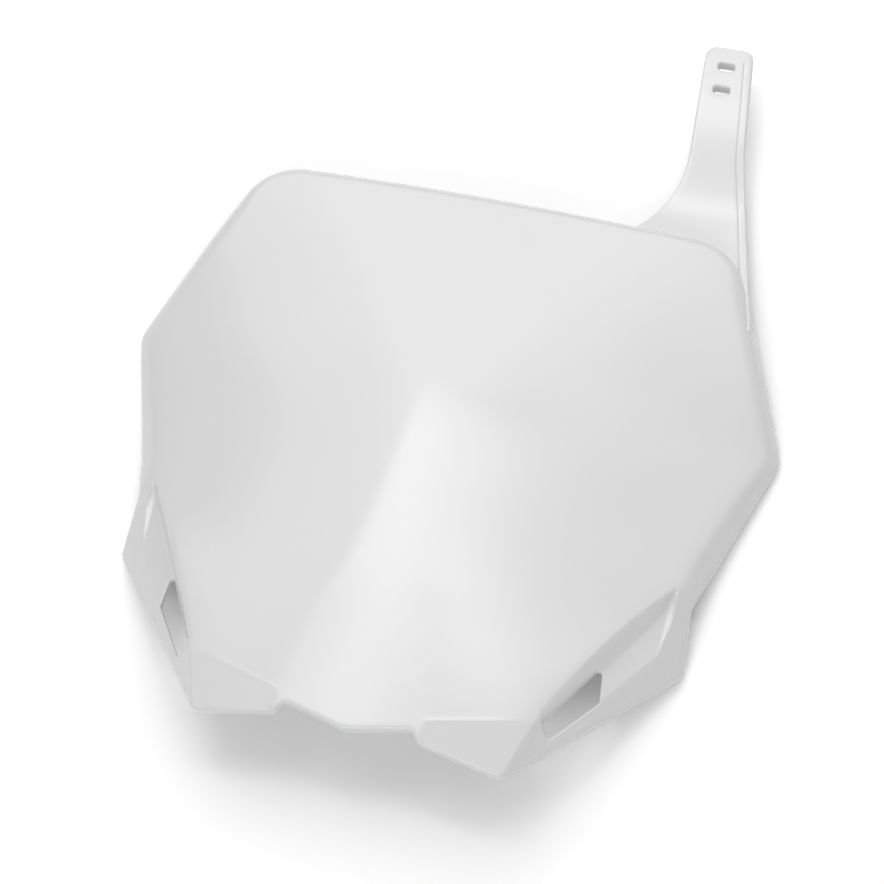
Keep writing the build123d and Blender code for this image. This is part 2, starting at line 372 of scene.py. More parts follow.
def outwardNormals(path, closed):
    if closed:
        along = np.roll(path, -1, axis=0) - np.roll(path, 1, axis=0)
    else:
        along = np.gradient(path, axis=0)
    normals = np.column_stack([-along[:, 1], along[:, 0]])
    return normals / np.linalg.norm(normals, axis=1)[:, None]


def pathDistance(points, path):
    starts, ends = path[:-1], path[1:]
    along = ends - starts
    lengths = np.maximum((along**2).sum(axis=1), planning["tiny"])
    nearest = np.full(len(points), np.inf)
    size = planning["batch"]
    for first in range(0, len(points), size):
        batch = points[first : first + size, None, :] - starts[None]
        share = np.clip((batch * along[None]).sum(axis=2) / lengths, 0, 1)
        gap = np.linalg.norm(batch - share[:, :, None] * along[None], axis=2)
        nearest[first : first + size] = gap.min(axis=1)
    return nearest


def insideLoop(points, loop):
    inside = np.zeros(len(points), bool)
    for start, end in zip(loop, np.roll(loop, -1, axis=0)):
        crosses = (start[1] > points[:, 1]) != (end[1] > points[:, 1])
        rise = end[1] - start[1] if end[1] != start[1] else planning["tiny"]
        crossing = (end[0] - start[0]) * (points[:, 1] - start[1]) / rise + start[0]
        inside ^= crosses & (points[:, 0] < crossing)
    return inside


def closedPath(loop):
    return np.vstack([loop, loop[:1]])


class Sprinkle:
    # Points that keep a least gap between them
    def __init__(self):
        self.points = []
        self.cells = {}

    def add(self, points, gap):
        cell = planning["cell"]
        for x, y in points:
            column, row = int(x // cell), int(y // cell)
            near = False
            for nextColumn in range(column - 1, column + 2):
                for nextRow in range(row - 1, row + 2):
                    for otherX, otherY in self.cells.get((nextColumn, nextRow), ()):
                        near = near or (otherX - x) ** 2 + (otherY - y) ** 2 < gap * gap
            if not near:
                self.points.append((x, y))
                self.cells.setdefault((column, row), []).append((x, y))


def gridPoints(low, high, step):
    rowStep = step * math.sqrt(3) / 2
    rows = int((high[1] - low[1]) / rowStep) + 1
    columns = int((high[0] - low[0]) / step) + 2
    return np.array([
        (low[0] + (column + 0.5 * (row % 2)) * step, low[1] + row * rowStep)
        for row in range(rows)
        for column in range(columns)
    ])


def fillPlan(loops, spread):
    # Triangles between the outer loop and the hole loops, over the loops' own points and the spread ones
    points = [tuple(point) for loop in loops for point in loop]
    edges = []
    first = 0
    for loop in loops:
        count = len(loop)
        edges.extend((first + index, first + (index + 1) % count) for index in range(count))
        first += count
    points.extend(spread)
    flat = [Vector(point) for point in points]
    wholeHull = 0  # triangles outside the loops are dropped below
    verts, _, faces, _, _, _ = delaunay_2d_cdt(flat, edges, [], wholeHull, planning["tolerance"])
    plan = np.array([tuple(vert) for vert in verts])
    faces = np.array(faces)
    middles = plan[faces].mean(axis=1)
    kept = insideLoop(middles, loops[0])
    for hole in loops[1:]:
        kept &= ~insideLoop(middles, hole)
    return plan, faces[kept]


def raised(plan, heights):
    return np.column_stack([plan, heights])


class Skin:
    # Vertices and faces gathered from several sheets, welded later where they meet
    def __init__(self):
        self.verts = []
        self.faces = []

    def sheet(self, points, faces, flipped=False):
        first = len(self.verts)
        self.verts.extend(tuple(point) for point in points)
        for face in faces:
            face = [first + int(index) for index in face]
            self.faces.append(face[::-1] if flipped else face)

    def band(self, rows, closed):
        # Quads between rows of points that follow one another
        count = len(rows[0])
        first = len(self.verts)
        for row in rows:
            self.verts.extend(tuple(point) for point in row)
        for level in range(len(rows) - 1):
            for index in range(count if closed else count - 1):
                here = first + level * count + index
                beside = first + level * count + (index + 1) % count
                self.faces.append([here, here + count, beside + count, beside])

    def mirrored(self):
        count = len(self.verts)
        self.verts.extend([(-x, y, z) for x, y, z in self.verts])
        self.faces.extend([[index + count for index in face[::-1]] for face in self.faces])


# Shell: how closely the mesh points lie over it
shellMesh = {
    "outlineStep": 1.1,
    "outerMiddleStep": 1.6,
    "innerMiddleStep": 3.2,
    "outerGrid": 1.7,
    "innerGrid": 3.4,
    "gridGap": 0.62,  # least gap, as a share of the grid step
    "borderGap": 0.5,  # distance from a border, as a share of the least gap
    "rimRings": (0.03, 0.1, 0.22, 0.4, 0.62, 0.85, 1.1),  # shares of the rounded edge's run
    "rimRingKept": 0.95,
    "rimRingGap": 0.1,
    "ventRings": (0.15, 0.5, 1.1),
    "ventRingGap": 0.12,
    "lobeCrowding": 2.4,  # rows crowd towards the crease of the lobe
    "lobeEvenReach": 1.6,
    "stepLead": 4.0,
    "tipAbove": 8.0,
    "tipBelow": 12.0,
    "rimLevels": (0.33, 0.66, 1),
    "footTurns": (0, 30, 60, 90),  # degrees round the rim's lower edge
}

# The half outline of the plate, from the middle of the top edge to the point of the tongue
outlineCorners = [
    (0, 0, 0),
    (plate["topHalf"], 0, plate["topCornerRadius"]),
    (plate["widestHalf"], -plate["widestDrop"], plate["widestRadius"]),
    (plate["waistHalf"], -plate["waistDrop"], plate["waistRadius"]),
    (plate["earHalf"], -plate["earDrop"], plate["earRadius"]),
    (plate["lobeHalf"], -plate["lobeDrop"], plate["lobeRadius"]),
    (plate["lobeInnerHalf"], -plate["lobeInnerDrop"], plate["lobeInnerRadius"]),
    (plate["tongueHalf"], -plate["tongueDrop"], plate["notchRadius"]),
    (0, -plate["tonguePointDrop"], 0),
]
outline = roundedPath(outlineCorners, shellMesh["outlineStep"])
outlineNormals = outwardNormals(outline, False)
outlineNormals[0] = (0, 1)
outlineNormals[-1] = (0, -1)


def insetOutline(distance):
    return outline - outlineNormals * np.broadcast_to(distance, len(outline))[:, None]


# The edge is rounded softly along the top and the sides, and crisply round the ears and lobes
rimEdge = {
    "topRun": 3.0,
    "topFall": 2.4,
    "sideRun": 6.5,
    "sideFall": 3.6,
    "lowRun": 1.5,
    "lowFall": 1.4,
    "sideStart": 4.0,
    "sideFull": 26.0,
    "sideEnd": 120.0,
    "lowStart": 132.0,
}


def rimShape(drop, name):
    top, side, low = rimEdge["top" + name], rimEdge["side" + name], rimEdge["low" + name]
    rise = ease(drop, rimEdge["sideStart"], rimEdge["sideFull"])
    fall = ease(drop, rimEdge["sideEnd"], rimEdge["lowStart"])
    return top + (side - top) * rise + (low - side) * fall


def rimFall(points):
    drop = -points[:, 1]
    return roundOff(pathDistance(points, outline), rimShape(drop, "Run"), rimShape(drop, "Fall"))


def down(point):
    return point[0], -point[1]


ventTop = (shoulderHalf(ear["ventTopDrop"]), ear["ventTopDrop"])
ventCorners = [down(corner) for corner in (ventTop, ventOuter, ventEnd, shoulderBend)]
vent = roundedLoop(ventCorners, ear["ventRadius"], ear["ventStep"])


def edgeRings():
    # Rings of points inside the rim and round the vent, each with its least gap
    run = rimShape(-outline[:, 1], "Run")
    rings = []
    for share in shellMesh["rimRings"]:
        ring = insetOutline(run * share)
        ring = ring[pathDistance(ring, outline) > run * share * shellMesh["rimRingKept"]]
        rings.append((ring, shellMesh["rimRingGap"]))
    for distance in shellMesh["ventRings"]:
        rings.append((vent + outwardNormals(vent, True) * distance, shellMesh["ventRingGap"]))
    return rings


def alongCrease(start, end, step, offsets, gap):
    # Rows of points beside the line from start to end, with their least gap
    start, end = np.array(down(start), float), np.array(down(end), float)
    along = end - start
    length = np.linalg.norm(along)
    side = np.array([-along[1], along[0]]) / length
    shares = np.linspace(0, 1, max(2, int(length / step)))
    rows = [start + shares[:, None] * along + side * offset for offset in offsets]
    return np.vstack(rows), gap


def creaseRows():
    # Offsets run from one side of a crease to the other
    shoulderOffsets = np.linspace(7.0, -2.1, 16)
    hingeOffsets = np.linspace(-1.0, 1.0, 7)
    bladeOffsets = np.linspace(-ear["bladeWidth"] - 1.0, 0.6, 22)
    lobeShares = np.linspace(-1, 1, 17)
    lobeOffsets = lobeShares**3 * shellMesh["lobeCrowding"] + lobeShares * shellMesh["lobeEvenReach"]
    foldOffsets = np.linspace(-2.0, 2.0, 11)
    stepOffsets = np.linspace(-2, 2, 8)
    tipOffsets = np.linspace(-9, 0, 10)
    lobeInner = (lobeStepHalf, lobe["creaseInnerDrop"])
    stepTop = (lobeStepHalf, lobe["creaseInnerDrop"] - shellMesh["stepLead"])
    stepFoot = (lobeStepHalf, plate["lobeDrop"])
    foldTop = (0, nose["foldDrop"])
    foldFoot = (nose["foldFootHalf"], plate["tonguePointDrop"])
    aboveTip = (0, nose["tipDrop"] - shellMesh["tipAbove"])
    belowTip = (0, nose["tipDrop"] + shellMesh["tipBelow"])
    return [
        alongCrease(shoulderBend, shoulderTop, step=1.3, offsets=shoulderOffsets, gap=0.4),
        alongCrease(lobeCorner, shoulderBend, step=1.3, offsets=shoulderOffsets, gap=0.4),
        alongCrease(pocketOuter, ventOuter, step=0.8, offsets=hingeOffsets, gap=0.25),
        alongCrease(shoulderTop, pocketOuter, step=0.8, offsets=bladeOffsets, gap=0.16),
        alongCrease(lobeInner, shoulderBend, step=0.9, offsets=lobeOffsets, gap=0.18),
        alongCrease(foldTop, foldFoot, step=1.2, offsets=foldOffsets, gap=0.3),
        alongCrease(stepTop, stepFoot, step=0.8, offsets=stepOffsets, gap=0.35),
        alongCrease(aboveTip, belowTip, step=0.9, offsets=tipOffsets, gap=0.5),
    ]


def spreadOver(loop, hole, groups, step):
    # The groups' points first, and an even grid in the room that is left
    sprinkle = Sprinkle()
    sprinkle.add(loop, 0)
    sprinkle.add(hole, 0)
    border = len(sprinkle.points)
    grid = gridPoints(loop.min(axis=0), loop.max(axis=0), step)
    for points, gap in groups + [(grid, step * shellMesh["gridGap"])]:
        inside = insideLoop(points, loop) & ~insideLoop(points, hole)
        clear = pathDistance(points, closedPath(loop)) > gap * shellMesh["borderGap"]
        sprinkle.add(points[inside & clear], gap)
    return sprinkle.points[border:]


def halfLoop(path, step):
    # The half outline closed along the middle line
    count = int((path[0][1] - path[-1][1]) / step)
    axis = np.linspace(path[-1], path[0], count)[1:-1]
    axis[:, 0] = 0
    return np.vstack([path, axis])


rimBottom = faceHeight(outline[:, 0], outline[:, 1], 0) - plate["rimDepth"]


def rimRows(innerPath):
    # Down the outer side of the rim, round its lower edge and up its inner side
    wall, radius = plate["wall"], plate["footRadius"]
    rimTop = faceHeight(outline[:, 0], outline[:, 1], 0) - rimShape(-outline[:, 1], "Fall")
    edge = rimBottom + radius
    rows = [raised(outline, rimTop)]
    rows += [raised(outline, rimTop + (edge - rimTop) * share) for share in shellMesh["rimLevels"]]
    turns = [math.radians(turn) for turn in shellMesh["footTurns"]]
    for turn in turns[1:]:
        inward = radius * (1 - math.cos(turn))
        rows.append(raised(insetOutline(inward), rimBottom + radius * (1 - math.sin(turn))))
    for turn in turns:
        inward = wall - radius * (1 - math.sin(turn))
        rows.append(raised(insetOutline(inward), rimBottom + radius * (1 - math.cos(turn))))
    rows.append(raised(innerPath, faceHeight(innerPath[:, 0], innerPath[:, 1], wall)))
    for row in rows:
        row[0][0] = 0
        row[-1][0] = 0
    return rows


def buildShell():
    skin = Skin()
    wall = plate["wall"]
    outerLoop = halfLoop(outline, shellMesh["outerMiddleStep"])
    outerSpread = spreadOver(outerLoop, vent, edgeRings() + creaseRows(), shellMesh["outerGrid"])
    plan, faces = fillPlan([outerLoop, vent], outerSpread)
    heights = faceHeight(plan[:, 0], plan[:, 1], 0)
    heights -= rimFall(plan)
    heights -= roundOff(pathDistance(plan, closedPath(vent)), ear["ventEdge"], ear["ventEdge"])
    skin.sheet(raised(plan, heights), faces)
    innerPath = insetOutline(wall)
    innerPath[0][0] = 0
    innerPath[-1][0] = 0
    innerLoop = halfLoop(innerPath, shellMesh["innerMiddleStep"])
    innerSpread = spreadOver(innerLoop, vent, [], shellMesh["innerGrid"])
    innerPlan, innerFaces = fillPlan([innerLoop, vent], innerSpread)
    innerHeights = faceHeight(innerPlan[:, 0], innerPlan[:, 1], wall)
    skin.sheet(raised(innerPlan, innerHeights), innerFaces, True)
    skin.band(rimRows(innerPath), False)
    ventUpper = faceHeight(vent[:, 0], vent[:, 1], 0) - ear["ventEdge"]
    ventLower = faceHeight(vent[:, 0], vent[:, 1], wall)
    skin.band([raised(vent, ventLower), raised(vent, ventUpper)], True)
    skin.mirrored()
    return skin


# Solids over a plan: plates with holes and rounded edges, for the strap and what is behind the face
solidMesh = {
    "edgeRings": (0.1, 0.35, 0.65, 1.0),  # shares of the edge's rounding
    "ringKept": 0.9,
    "ringGap": 0.12,
    "gridClear": 0.3,  # shares of the grid step
    "gridGap": 0.6,
}


def turned(loop, clockwise):
    beside = np.roll(loop, -1, axis=0)
    area = (loop[:, 0] * beside[:, 1] - beside[:, 0] * loop[:, 1]).sum()
    return loop[::-1] if (area < 0) != clockwise else loop


def flatAt(height):
    return lambda first, second: np.full(len(first), height)


def planSolid(skin, loops, topOf, footOf, edge, step, place):
    # The first loop is the outline and the others are holes; place turns plan and height into x, y and z
    loops = [turned(loop, index == 0) for index, loop in enumerate(loops)]
    borders = [closedPath(loop) for loop in loops]
    sprinkle = Sprinkle()
    for loop in loops:
        sprinkle.add(loop, 0)
    count = len(sprinkle.points)
    for loop, border in zip(loops, borders):
        for share in solidMesh["edgeRings"]:
            ring = loop - outwardNormals(loop, True) * edge * share
            ring = ring[pathDistance(ring, border) > edge * share * solidMesh["ringKept"]]
            ring = ring[insideLoop(ring, loops[0])]
            sprinkle.add(ring, edge * solidMesh["ringGap"])
    grid = gridPoints(loops[0].min(axis=0), loops[0].max(axis=0), step)
    grid = grid[insideLoop(grid, loops[0])]
    for border in borders:
        grid = grid[pathDistance(grid, border) > edge + step * solidMesh["gridClear"]]
    for hole in loops[1:]:
        grid = grid[~insideLoop(grid, hole)]
    sprinkle.add(grid, step * solidMesh["gridGap"])
    plan, faces = fillPlan(loops, sprinkle.points[count:])
    near = np.min([pathDistance(plan, border) for border in borders], axis=0)
    top = topOf(plan[:, 0], plan[:, 1]) - roundOff(near, edge, edge)
    foot = footOf(plan[:, 0], plan[:, 1]) + roundOff(near, edge, edge)
    skin.sheet([place(*point) for point in raised(plan, top)], faces)
    skin.sheet([place(*point) for point in raised(plan, foot)], faces, True)
    for loop in loops:
        upper = topOf(loop[:, 0], loop[:, 1]) - edge
        lower = footOf(loop[:, 0], loop[:, 1]) + edge
        rows = [raised(loop, lower), raised(loop, upper)]
        skin.band([[place(*point) for point in row] for row in rows], True)


# Strap: it dips behind the top edge, steps up and runs out to a slotted tip.
# A reach is a distance above that edge.
strap = {
    "reach": 74.5,
    "tipMiddle": 70.8,
    "tipWidth": 17.5,
    "waistReach": 34.0,
    "waistMiddle": 74.3,
    "waistWidth": 20.2,
    "rootHalf": 48.0,
    "rootDrop": 32.0,
    "tipRadius": 4.0,
    "waistRadius": 90.0,
    "thickness": 3.0,
    "rootHeight": 8.5,
    "rootSlope": 0.15,
    "dipReach": 10.0,
    "stepReach": 44.0,
    "tipHeight": 15.7,
    "tipSlope": 0.105,
    "bendSoft": 13.0,
    "lap": 6.0,  # how far the root runs in behind the edge
    "lapRadius": 0.8,
    "edge": 0.7,
    "tabThickness": 5.6,
    "tabWidth": 13.0,
    "tabReach": 53.0,
    "tabEnd": 72.0,
    "tabSoft": 1.5,
    "slotLength": 6.0,
    "slotWidth": 2.6,
    "slotRadius": 1.0,
    "slotReach": 67.0,
    "slotPitch": 9.0,
    "slotCount": 2,
    "slotStep": 0.4,
    "pathStep": 1.2,
    "flareSteps": 32,
    "grid": 1.4,
}
waistRight = (strap["waistMiddle"] + strap["waistWidth"] / 2, strap["waistReach"])
waistLeft = (strap["waistMiddle"] - strap["waistWidth"] / 2, strap["waistReach"])
tipRight = (strap["tipMiddle"] + strap["tipWidth"] / 2, strap["reach"])
tipLeft = (strap["tipMiddle"] - strap["tipWidth"] / 2, strap["reach"])
rootRight = (sideHalf(strap["rootDrop"]) - plate["wall"] / 2, -strap["rootDrop"])


def strapHeight(x, y):
    rise = strap["tipHeight"] - strap["rootHeight"] + strap["rootSlope"] * strap["dipReach"]
    rise = rise / (strap["stepReach"] - strap["dipReach"])
    height = strap["rootHeight"] - strap["rootSlope"] * y
    height = height + (rise + strap["rootSlope"]) * softRamp(y - strap["dipReach"], strap["bendSoft"])
    return height - (rise - strap["tipSlope"]) * softRamp(y - strap["stepReach"], strap["bendSoft"])


def strapFoot(x, y):
    # Round its slots the strap is thicker
    soft = strap["tabSoft"]
    share = ease(y, strap["tabReach"] - soft, strap["tabReach"] + soft)
    share = share * (1 - ease(y, strap["tabEnd"] - soft, strap["tabEnd"]))
    beside = np.abs(x - strap["tipMiddle"]) - strap["tabWidth"] / 2
    share = share * (1 - ease(beside, -soft, 0))
    thicker = (strap["tabThickness"] - strap["thickness"]) * share
    return strapHeight(x, y) - strap["thickness"] - thicker


def tangentArc(start, heading, end, count):
    start, end = Vector(start), Vector(end)
    heading = Vector(heading).normalized()
    side = Vector((heading.y, -heading.x))
    if side.dot(end - start) < 0:
        side = -side
    radius = (end - start).length_squared / (2 * side.dot(end - start))
    centre = start + side * radius
    spoke = start - centre
    turn = spoke.angle_signed(end - centre)
    turns = [-turn * index / count for index in range(1, count + 1)]
    return np.array([tuple(centre + Matrix.Rotation(angle, 2) @ spoke) for angle in turns])


def strapLoop():
    outer = roundedPath([
        (*rootRight, 0),
        (*waistRight, strap["waistRadius"]),
        (*tipRight, strap["tipRadius"]),
        (*tipLeft, strap["tipRadius"]),
        (*waistLeft, 0),
    ], strap["pathStep"])
    heading = (waistLeft[0] - tipLeft[0], waistLeft[1] - tipLeft[1])
    flare = tangentArc(waistLeft, heading, (strap["rootHalf"], 0), strap["flareSteps"])
    lap = strap["lap"]
    lean = math.hypot(1, sideSlope)
    lapCorner = (sideHalf(lap) - lap * lean, -lap)
    lapEnd = (sideHalf(strap["rootDrop"]) - lap * lean, -strap["rootDrop"])
    inner = roundedPath([
        (strap["rootHalf"], 0, 0),
        (strap["rootHalf"], -lap, strap["lapRadius"]),
        (*lapCorner, plate["topCornerRadius"] - lap),
        (*lapEnd, strap["lapRadius"]),
        (*rootRight, 0),
    ], strap["pathStep"])
    return np.vstack([outer, flare, inner[1:-1]])


def slotLoops():
    halfLength, halfWidth = strap["slotLength"] / 2, strap["slotWidth"] / 2
    loops = []
    for index in range(strap["slotCount"]):
        middle = strap["slotReach"] - index * strap["slotPitch"]
        corners = [
            (strap["tipMiddle"] + across * halfLength, middle + along * halfWidth)
            for across, along in ((-1, -1), (-1, 1), (1, 1), (1, -1))
        ]
        loops.append(roundedLoop(corners, strap["slotRadius"], strap["slotStep"]))
    return loops


def buildStrap(skin):
    planSolid(
        skin,
        [strapLoop()] + slotLoops(),
        strapHeight,
        strapFoot,
        strap["edge"],
        strap["grid"],
        lambda x, y, z: (x, y, z),
    )


# Hook behind the face, for the slots of the strap
hook = {
    "drop": 22.0,
    "clearance": 0.4,
    "stand": 6.0,
    "toe": 2.6,
    "radius": 0.5,
    "edge": 0.4,
    "pathStep": 0.5,
    "grid": 1.2,
}


def buildHook(skin):
    width = strap["slotLength"] - 2 * hook["clearance"]
    thick = strap["slotWidth"] - 2 * hook["clearance"]
    top = float(crownHeight(strap["tipMiddle"], hook["drop"], plate["wall"] / 2))
    foot = float(crownHeight(strap["tipMiddle"], hook["drop"], plate["wall"])) - hook["stand"]
    middle = -hook["drop"]
    profile = roundedLoop([
        (middle + thick / 2, foot - thick),
        (middle - thick / 2 - hook["toe"], foot - thick),
        (middle - thick / 2 - hook["toe"], foot),
        (middle - thick / 2, foot),
        (middle - thick / 2, top),
        (middle + thick / 2, top),
    ], hook["radius"], hook["pathStep"])
    planSolid(
        skin,
        [profile],
        flatAt(width / 2),
        flatAt(-width / 2),
        hook["edge"],
        hook["grid"],
        lambda y, z, x: (x + strap["tipMiddle"], y, z),
    )


# Bolt lug behind the nose, with a gusset at each side
lug = {
    "drop": 178.0,
    "width": 22.0,
    "thickness": 5.0,
    "bore": 6.5,
    "boreHeight": 20.0,
    "boreSides": 48,
    "arcDegrees": 6,
    "gussetThickness": 2.4,
    "gussetRun": 26.0,
    "gussetRadius": 0.5,
    "gussetStep": 1.5,
    "edge": 0.6,
    "grid": 2.2,
}


def buildLug(skin):
    halfWidth, halfBore = lug["width"] / 2, lug["bore"] / 2
    top = float(noseHeight(lug["drop"])) - plate["wall"] / 2
    base = lug["boreHeight"]
    turns = [math.radians(angle) for angle in range(0, 181, lug["arcDegrees"])]
    tab = np.array(
        [(halfWidth, top), (halfWidth, (top + base) / 2)]
        + [(halfWidth * math.cos(turn), base - halfWidth * math.sin(turn)) for turn in turns]
        + [(-halfWidth, (top + base) / 2), (-halfWidth, top)]
    )
    boreTurns = [math.tau * index / lug["boreSides"] for index in range(lug["boreSides"])]
    bore = np.array([(halfBore * math.cos(turn), base + halfBore * math.sin(turn)) for turn in boreTurns])
    planSolid(
        skin,
        [tab, bore],
        flatAt(lug["thickness"] / 2),
        flatAt(-lug["thickness"] / 2),
        lug["edge"],
        lug["grid"],
        lambda x, z, y: (x, -lug["drop"] - y, z),
    )
    profile = roundedLoop([
        (-lug["drop"], base),
        (-lug["drop"], top),
        (-lug["drop"] + lug["gussetRun"], top),
    ], lug["gussetRadius"], lug["gussetStep"])
    for side in (-1, 1):
        middle = side * (halfWidth - lug["gussetThickness"] / 2)
        planSolid(
            skin,
            [profile],
            flatAt(lug["gussetThickness"] / 2),
            flatAt(-lug["gussetThickness"] / 2),
            lug["edge"],
            lug["grid"],
            lambda y, z, x: (x + middle, y, z),
        )


skin = buildShell()
print("shell", len(skin.faces), "faces")
buildStrap(skin)
buildHook(skin)
buildLug(skin)
print("strap, hook and lug done", len(skin.faces), "faces")

# From the sizes above to the frame, in metres: the strap's tip is the plate's far end and the rim its lowest
originShift = Vector((0, plateHigh.y * mmPerMetre - strap["reach"], -float(rimBottom.min())))


def toRow(point):
    return (Vector(point) + originShift) / mmPerMetre


# Bead along the right edge of the strap
bead = {
    "width": 3.2,
    "height": 1.3,
    "sunk": 1.2,
    "rounding": 0.6,
    "roundingSteps": 4,
    "inset": 0.2,
    "startReach": -24.0,
    "fullReach": -4.0,
    "endReach": 71.0,
    "startSink": 0.3,  # how far below the strap its start lies
    "pathStep": 1.5,
}


def beadTree():
    tree = bpy.data.node_groups.new("beadAlongEdge", "GeometryNodeTree")
    tree.interface.new_socket("Geometry", in_out="INPUT", socket_type="NodeSocketGeometry")
    for name in ("Width", "Height", "Rounding"):
        tree.interface.new_socket(name, in_out="INPUT", socket_type="NodeSocketFloat")
    tree.interface.new_socket("Material", in_out="INPUT", socket_type="NodeSocketMaterial")
    tree.interface.new_socket("Geometry", in_out="OUTPUT", socket_type="NodeSocketGeometry")
    nodes, links = tree.nodes, tree.links
    given = nodes.new("NodeGroupInput")
    path = nodes.new("GeometryNodeMeshToCurve")
    upright = nodes.new("GeometryNodeSetCurveNormal")
    upright.mode = "Z_UP"
    profile = nodes.new("GeometryNodeCurvePrimitiveQuadrilateral")
    rounded = nodes.new("GeometryNodeFilletCurve")
    rounded.mode = "POLY"
    rounded.inputs["Count"].default_value = bead["roundingSteps"]
    sweep = nodes.new("GeometryNodeCurveToMesh")
    sweep.inputs["Fill Caps"].default_value = True
    real = nodes.new("GeometryNodeRealizeInstances")
    coat = nodes.new("GeometryNodeSetMaterial")
    result = nodes.new("NodeGroupOutput")
    links.new(given.outputs["Geometry"], path.inputs["Mesh"])
    links.new(path.outputs["Curve"], upright.inputs["Curve"])
    links.new(given.outputs["Width"], profile.inputs["Width"])
    links.new(given.outputs["Height"], profile.inputs["Height"])
    links.new(profile.outputs["Curve"], rounded.inputs["Curve"])
    links.new(given.outputs["Rounding"], rounded.inputs["Radius"])
    links.new(upright.outputs["Curve"], sweep.inputs["Curve"])
    links.new(rounded.outputs["Curve"], sweep.inputs["Profile Curve"])
    links.new(sweep.outputs["Mesh"], real.inputs["Geometry"])
    links.new(real.outputs["Geometry"], coat.inputs["Geometry"])
    links.new(given.outputs["Material"], coat.inputs["Material"])
    links.new(coat.outputs["Geometry"], result.inputs["Geometry"])
    return tree


def plainMesh(source):
    evaluated = source.evaluated_get(bpy.context.evaluated_depsgraph_get())
    return bpy.data.meshes.new_from_object(evaluated)


def buildBead():
    corners = [(*rootRight, 0), (*waistRight, strap["waistRadius"]), (*tipRight, 0)]
    edge = roundedPath(corners, bead["pathStep"])
    edge = edge + outwardNormals(edge, False) * (bead["inset"] + bead["width"] / 2)
    edge = edge[(edge[:, 1] > bead["startReach"]) & (edge[:, 1] < bead["endReach"])]
    lift = (bead["height"] - bead["sunk"]) / 2
    sunk = bead["height"] + bead["startSink"]
    sunk = sunk * (1 - ease(edge[:, 1], bead["startReach"], bead["fullReach"]))
    points = raised(edge, strapHeight(edge[:, 0], edge[:, 1]) + lift - sunk)
    links = [(index, index + 1) for index in range(len(points) - 1)]
    mesh = bpy.data.meshes.new("beadPath")
    mesh.from_pydata([toRow(point) for point in points], links, [])
    pathObject = bpy.data.objects.new("beadPath", mesh)
    bpy.context.collection.objects.link(pathObject)
    modifier = pathObject.modifiers.new("bead", "NODES")
    modifier.node_group = beadTree()
    values = {
        "Width": bead["width"] / mmPerMetre,
        "Height": (bead["height"] + bead["sunk"]) / mmPerMetre,
        "Rounding": bead["rounding"] / mmPerMetre,
    }
    for item in modifier.node_group.interface.items_tree:
        if item.in_out == "INPUT" and item.name in values:
            modifier[item.identifier] = values[item.name]
    solid = plainMesh(pathObject)
    bpy.data.objects.remove(pathObject)
    return solid


# One mesh of it all
joining = {"weldGap": 2e-6, "sharpDegrees": 38}
mesh = bpy.data.meshes.new("numberPlate")
mesh.from_pydata([toRow(vert) for vert in skin.verts], [], skin.faces)
cleaner = bmesh.new()
cleaner.from_mesh(mesh)
cleaner.from_mesh(buildBead())
bmesh.ops.remove_doubles(cleaner, verts=cleaner.verts, dist=joining["weldGap"])
bmesh.ops.recalc_face_normals(cleaner, faces=cleaner.faces)
cleaner.to_mesh(mesh)
cleaner.free()
plateObject = bpy.data.objects.new("numberPlate", mesh)
bpy.context.collection.objects.link(plateObject)
mesh.shade_smooth()
mesh.set_sharp_from_angle(angle=math.radians(joining["sharpDegrees"]))
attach(plateObject, "root")
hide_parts("number_plate")
print("plate mesh", len(mesh.vertices), "vertices", len(mesh.polygons), "faces")


# Shader maths: a wrapped socket, with its tree
class Wire:
    def __init__(self, tree, socket):
        self.tree = tree
        self.socket = socket

    def node(self, kind, settings, output, **values):
        # A value's name is its socket's, or an underscore and the socket's number
        made = self.tree.nodes.new(kind)
        for name, value in settings.items():
            setattr(made, name, value)
        for name, value in values.items():
            plug = made.inputs[int(name[1:])] if name[1:].isdigit() else made.inputs[name]
            if isinstance(value, Wire):
                self.tree.links.new(value.socket, plug)
            else:
                plug.default_value = value
        return Wire(self.tree, made.outputs[output])

    def maths(self, operation, first, second):
        return self.node("ShaderNodeMath", {"operation": operation}, "Value", _0=first, _1=second)

    def __add__(self, other):
        return self.maths("ADD", self, other)

    def __radd__(self, other):
        return self.maths("ADD", other, self)

    def __sub__(self, other):
        return self.maths("SUBTRACT", self, other)

    def __rsub__(self, other):
        return self.maths("SUBTRACT", other, self)

    def __mul__(self, other):
        return self.maths("MULTIPLY", self, other)

    def __rmul__(self, other):
        return self.maths("MULTIPLY", other, self)

    def feed(self, shader, name):
        self.tree.links.new(self.socket, shader.inputs[name])


def newMaterial(name):
    material = bpy.data.materials.new(name)
    material.use_nodes = True
    return material, Wire(material.node_tree, None), material.node_tree.nodes["Principled BSDF"]


# White plastic: gloss, with slightly uneven colour and shine and a fine moulded grain
finish = {
    "paleColour": (0.77, 0.77, 0.774, 1),
    "dullColour": (0.75, 0.75, 0.756, 1),
    "roughness": 0.23,
    "unevenShine": 0.05,
    "shineScale": 22.0,
    "shineDetail": 3.0,
    "noiseMiddle": 0.5,
    "ior": 1.59,
    "grainScale": 420.0,
    "grainDetail": 2.0,
    "grainDepth": 0.00003,
    "grainStrength": 0.12,
}


